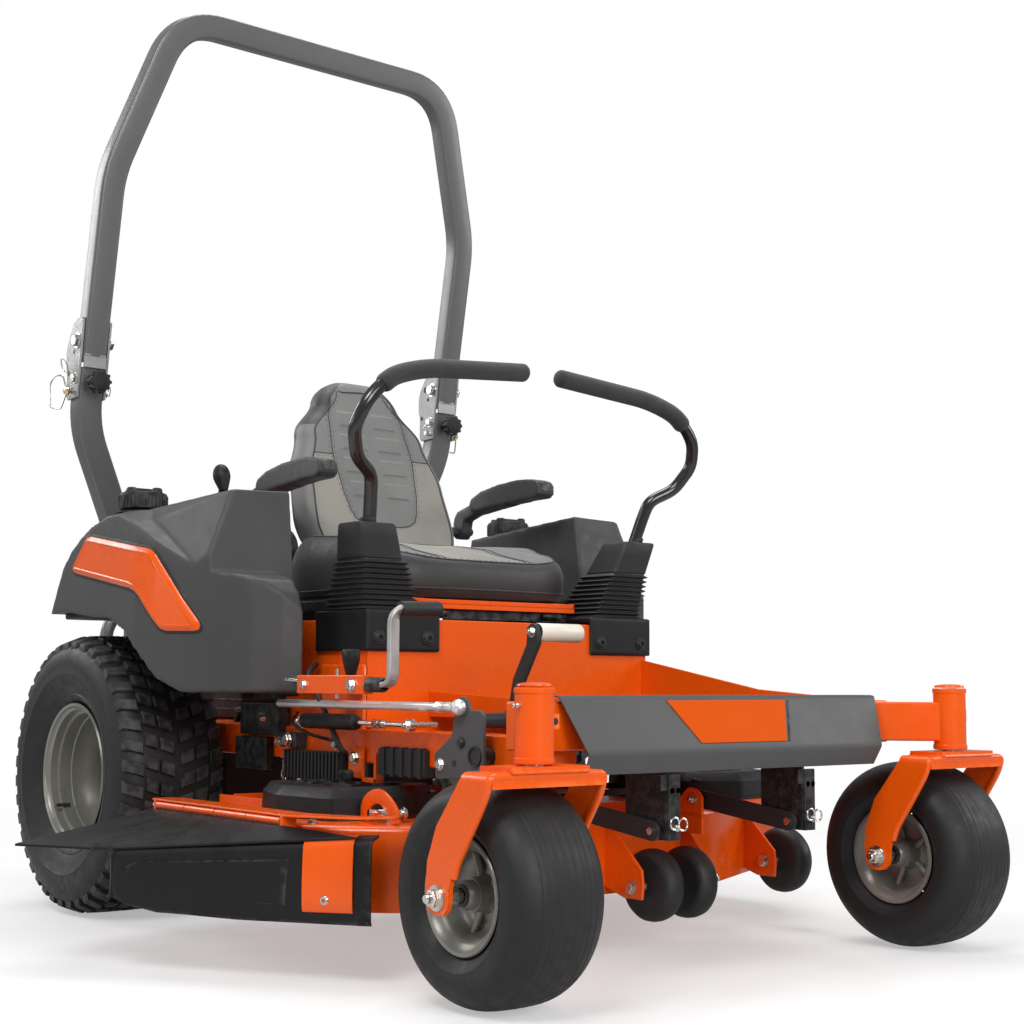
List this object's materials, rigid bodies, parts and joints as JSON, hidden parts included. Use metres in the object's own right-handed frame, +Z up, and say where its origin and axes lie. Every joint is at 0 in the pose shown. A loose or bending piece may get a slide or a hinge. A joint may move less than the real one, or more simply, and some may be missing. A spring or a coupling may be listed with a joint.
{
  "type": "zero turn mower",
  "caption": "Ride-on zero turn lawn mower with twin steering levers, swivelling front casters, folding roll bar, mid-mounted cutting deck with side chute and a sprung seat.",
  "frame": {"origin": "middle of the footprint, on the ground, with the side chute counted in the width", "axes": "+Z up, front of the machine towards -Y, driver's right towards -X"},
  "size_m": [1.6, 2.063, 1.9711],
  "materials": {
    "orange_paint": "gloss powder coat",
    "grey_moulding": "satin, fine texture",
    "tube_paint": "satin powder coat",
    "black_plastic": "fine texture",
    "black_rubber": "matte",
    "tyre": "matte",
    "rim_paint": "satin",
    "bright_steel": "zinc plated",
    "seat_vinyl": "embossed vinyl, matte",
    "engine_casting": "black paint over casting"
  },
  "bodies": {
    "chassis": {"main_frame": "orange_paint", "front_beam_cover": "grey_moulding", "front_body_panel": "orange_paint", "foot_platform": "orange_paint", "right_control_base": "black_plastic", "left_control_base": "black_plastic", "right_fuel_tank": "grey_moulding", "left_fuel_tank": "grey_moulding", "engine_block": "engine_casting", "engine_shroud": "black_plastic", "air_filter": "black_plastic", "muffler": "bright_steel", "rops_right_post": "tube_paint", "rops_left_post": "tube_paint", "right_transaxle": "engine_casting", "left_transaxle": "engine_casting"},
    "rops_hoop": {"rops_hoop": "tube_paint"},
    "seat_base": {"seat_pan": "orange_paint"},
    "seat": {"seat_cushion": "seat_vinyl", "seat_back": "seat_vinyl"},
    "deck": {"deck_shell": "orange_paint", "right_belt_cover": "black_plastic", "left_belt_cover": "black_plastic"},
    "chute": {"discharge_chute": "black_plastic"},
    "gauge_pair": {"gauge_wheel_pair": "black_rubber"},
    "gauge_single": {"left_gauge_wheel": "black_rubber"},
    "lift_pedal": {"lift_pedal": "black_plastic"},
    "lift_crank": {"lift_crank": "tube_paint"},
    "lift_rod": {"lift_rod": "bright_steel"},
    "lock_lever": {"lock_lever": "bright_steel"},
    "brake_lever": {"brake_lever": "black_plastic"},
    "right_fuel_cap": {"right_fuel_cap": "black_plastic"},
    "right_rops_knob": {"right_rops_knob": "black_plastic"},
    "right_rear_wheel": {"right_rear_rim": "rim_paint", "right_rear_tyre": "tyre"},
    "right_caster": {"right_caster_fork": "orange_paint"},
    "right_caster_wheel": {"right_caster_rim": "rim_paint", "right_caster_tyre": "tyre"},
    "right_armrest": {"right_armrest": "black_plastic"},
    "right_control": {"right_control_shaft": "bright_steel", "right_boot": "black_rubber"},
    "right_lever": {"right_lever": "black_plastic", "right_grip": "black_rubber"},
    "right_deck_link": {"right_deck_link": "black_plastic"},
    "left_fuel_cap": {"left_fuel_cap": "black_plastic"},
    "left_rops_knob": {"left_rops_knob": "black_plastic"},
    "left_rear_wheel": {"left_rear_rim": "rim_paint", "left_rear_tyre": "tyre"},
    "left_caster": {"left_caster_fork": "orange_paint"},
    "left_caster_wheel": {"left_caster_rim": "rim_paint", "left_caster_tyre": "tyre"},
    "left_armrest": {"left_armrest": "black_plastic"},
    "left_control": {"left_control_shaft": "bright_steel", "left_boot": "black_rubber"},
    "left_lever": {"left_lever": "black_plastic", "left_grip": "black_rubber"},
    "left_deck_link": {"left_deck_link": "black_plastic"},
    "right_blade": {"right_blade": "bright_steel"},
    "centre_blade": {"centre_blade": "bright_steel"},
    "left_blade": {"left_blade": "bright_steel"}
  },
  "joints": [
    {"name": "right_fuel_cap_turn", "type": "hinge", "parent": "chassis", "child": "right_fuel_cap", "pos_m": [-0.38, 0.3255, 0.8155], "axis": [0, 0, 1], "range_deg": [0, 120]},
    {"name": "right_rops_knob_turn", "type": "hinge", "parent": "chassis", "child": "right_rops_knob", "pos_m": [-0.38, 0.5842, 1.117], "axis": [0, 1, 0], "continuous": true},
    {"name": "right_rear_wheel_spin", "type": "hinge", "parent": "chassis", "child": "right_rear_wheel", "pos_m": [-0.382, 0.4155, 0.28], "axis": [1, 0, 0], "continuous": true},
    {"name": "right_caster_swivel", "type": "hinge", "parent": "chassis", "child": "right_caster", "pos_m": [-0.384, -0.9465, 0.353], "axis": [0, 0, 1], "continuous": true},
    {"name": "right_caster_wheel_spin", "type": "hinge", "parent": "right_caster", "child": "right_caster_wheel", "pos_m": [-0.384, -0.8665, 0.165], "axis": [1, 0, 0], "continuous": true},
    {"name": "right_armrest_fold", "type": "hinge", "parent": "seat", "child": "right_armrest", "pos_m": [-0.1545, 0.2375, 0.81], "axis": [-1, 0, 0], "range_deg": [0, 85]},
    {"name": "right_control_tilt", "type": "hinge", "parent": "chassis", "child": "right_control", "pos_m": [-0.155, -0.1895, 0.45], "axis": [1, 0, 0], "range_deg": [-14, 14], "stiffness_Nm_per_rad": 400, "deforming": ["right_boot"]},
    {"name": "right_lever_swing", "type": "hinge", "parent": "right_control", "child": "right_lever", "pos_m": [-0.22547, -0.2761, 0.733], "axis": [0, -1, 0], "range_deg": [0, 28]},
    {"name": "right_deck_link_tilt", "type": "hinge", "parent": "chassis", "child": "right_deck_link", "pos_m": [-0.0725, -0.8595, 0.236], "axis": [1, 0, 0], "range_deg": [-14, 6]},
    {"name": "left_fuel_cap_turn", "type": "hinge", "parent": "chassis", "child": "left_fuel_cap", "pos_m": [0.58, 0.3255, 0.8155], "axis": [0, 0, 1], "range_deg": [0, 120]},
    {"name": "left_rops_knob_turn", "type": "hinge", "parent": "chassis", "child": "left_rops_knob", "pos_m": [0.58, 0.5842, 1.117], "axis": [0, 1, 0], "continuous": true},
    {"name": "left_rear_wheel_spin", "type": "hinge", "parent": "chassis", "child": "left_rear_wheel", "pos_m": [0.582, 0.4155, 0.28], "axis": [1, 0, 0], "continuous": true},
    {"name": "left_caster_swivel", "type": "hinge", "parent": "chassis", "child": "left_caster", "pos_m": [0.584, -0.9465, 0.353], "axis": [0, 0, 1], "continuous": true},
    {"name": "left_caster_wheel_spin", "type": "hinge", "parent": "left_caster", "child": "left_caster_wheel", "pos_m": [0.584, -0.8665, 0.165], "axis": [1, 0, 0], "continuous": true},
    {"name": "left_armrest_fold", "type": "hinge", "parent": "seat", "child": "left_armrest", "pos_m": [0.3545, 0.2375, 0.81], "axis": [-1, 0, 0], "range_deg": [0, 85]},
    {"name": "left_control_tilt", "type": "hinge", "parent": "chassis", "child": "left_control", "pos_m": [0.355, -0.1895, 0.45], "axis": [1, 0, 0], "range_deg": [-14, 14], "stiffness_Nm_per_rad": 400, "deforming": ["left_boot"]},
    {"name": "left_lever_swing", "type": "hinge", "parent": "left_control", "child": "left_lever", "pos_m": [0.42547, -0.2761, 0.733], "axis": [0, 1, 0], "range_deg": [0, 28]},
    {"name": "left_deck_link_tilt", "type": "hinge", "parent": "chassis", "child": "left_deck_link", "pos_m": [0.2475, -0.8595, 0.236], "axis": [1, 0, 0], "range_deg": [-14, 6]},
    {"name": "rops_fold", "type": "hinge", "parent": "chassis", "child": "rops_hoop", "pos_m": [0.1, 0.5955, 1.21], "axis": [-1, 0, 0], "range_deg": [0, 115]},
    {"name": "seat_tilt", "type": "hinge", "parent": "chassis", "child": "seat_base", "pos_m": [0.1, -0.2395, 0.598], "axis": [1, 0, 0], "range_deg": [0, 55]},
    {"name": "seat_slide", "type": "slide", "parent": "seat_base", "child": "seat", "axis": [0, 1, 0], "range_m": [-0.015, 0.06]},
    {"name": "deck_lift", "type": "slide", "parent": "chassis", "child": "deck", "axis": [0, 0, 1], "range_m": [-0.045, 0.015], "stiffness_N_per_m": 180000, "springref_m": 0.00518},
    {"name": "chute_swing", "type": "hinge", "parent": "deck", "child": "chute", "pos_m": [-0.512, -0.2845, 0.246], "axis": [0, 1, 0], "range_deg": [0, 80]},
    {"name": "right_blade_spin", "type": "hinge", "parent": "deck", "child": "right_blade", "pos_m": [-0.285, -0.2645, 0.125], "axis": [0, 0, 1], "continuous": true},
    {"name": "centre_blade_spin", "type": "hinge", "parent": "deck", "child": "centre_blade", "pos_m": [0.145, -0.3445, 0.125], "axis": [0, 0, 1], "continuous": true},
    {"name": "left_blade_spin", "type": "hinge", "parent": "deck", "child": "left_blade", "pos_m": [0.575, -0.2445, 0.125], "axis": [0, 0, 1], "continuous": true},
    {"name": "gauge_pair_spin", "type": "hinge", "parent": "deck", "child": "gauge_pair", "pos_m": [0.118, -0.6645, 0.12], "axis": [1, 0, 0], "continuous": true},
    {"name": "gauge_single_spin", "type": "hinge", "parent": "deck", "child": "gauge_single", "pos_m": [0.562, -0.5645, 0.128], "axis": [1, 0, 0], "continuous": true},
    {"name": "lift_pedal_push", "type": "hinge", "parent": "chassis", "child": "lift_pedal", "pos_m": [-0.127, -0.5845, 0.405], "axis": [1, 0, 0], "range_deg": [-22, 9]},
    {"name": "lift_crank_turn", "type": "hinge", "parent": "chassis", "child": "lift_crank", "pos_m": [-0.286, -0.6805, 0.351], "axis": [1, 0, 0], "range_deg": [-20, 8]},
    {"name": "lift_rod_travel", "type": "slide", "parent": "chassis", "child": "lift_rod", "axis": [0, 1, 0], "range_m": [-0.01, 0.026]},
    {"name": "lock_lever_turn", "type": "hinge", "parent": "chassis", "child": "lock_lever", "pos_m": [-0.351, -0.5045, 0.4635], "axis": [0, -1, 0], "range_deg": [0, 40]},
    {"name": "brake_lever_pull", "type": "hinge", "parent": "chassis", "child": "brake_lever", "pos_m": [-0.232, 0.3155, 0.5], "axis": [-1, 0, 0], "range_deg": [0, 25]}
  ],
  "couplings": [
    {"joint": "right_deck_link_tilt", "follows": "deck_lift", "rad_per_m": 4.6},
    {"joint": "left_deck_link_tilt", "follows": "deck_lift", "rad_per_m": 4.6},
    {"joint": "lift_pedal_push", "follows": "deck_lift", "rad_per_m": 8},
    {"joint": "lift_crank_turn", "follows": "deck_lift", "rad_per_m": 7},
    {"joint": "lift_rod_travel", "follows": "deck_lift", "ratio": -0.52},
    {"joint": "right_blade_spin", "follows": "centre_blade_spin", "ratio": 1},
    {"joint": "left_blade_spin", "follows": "centre_blade_spin", "ratio": 1}
  ]
}
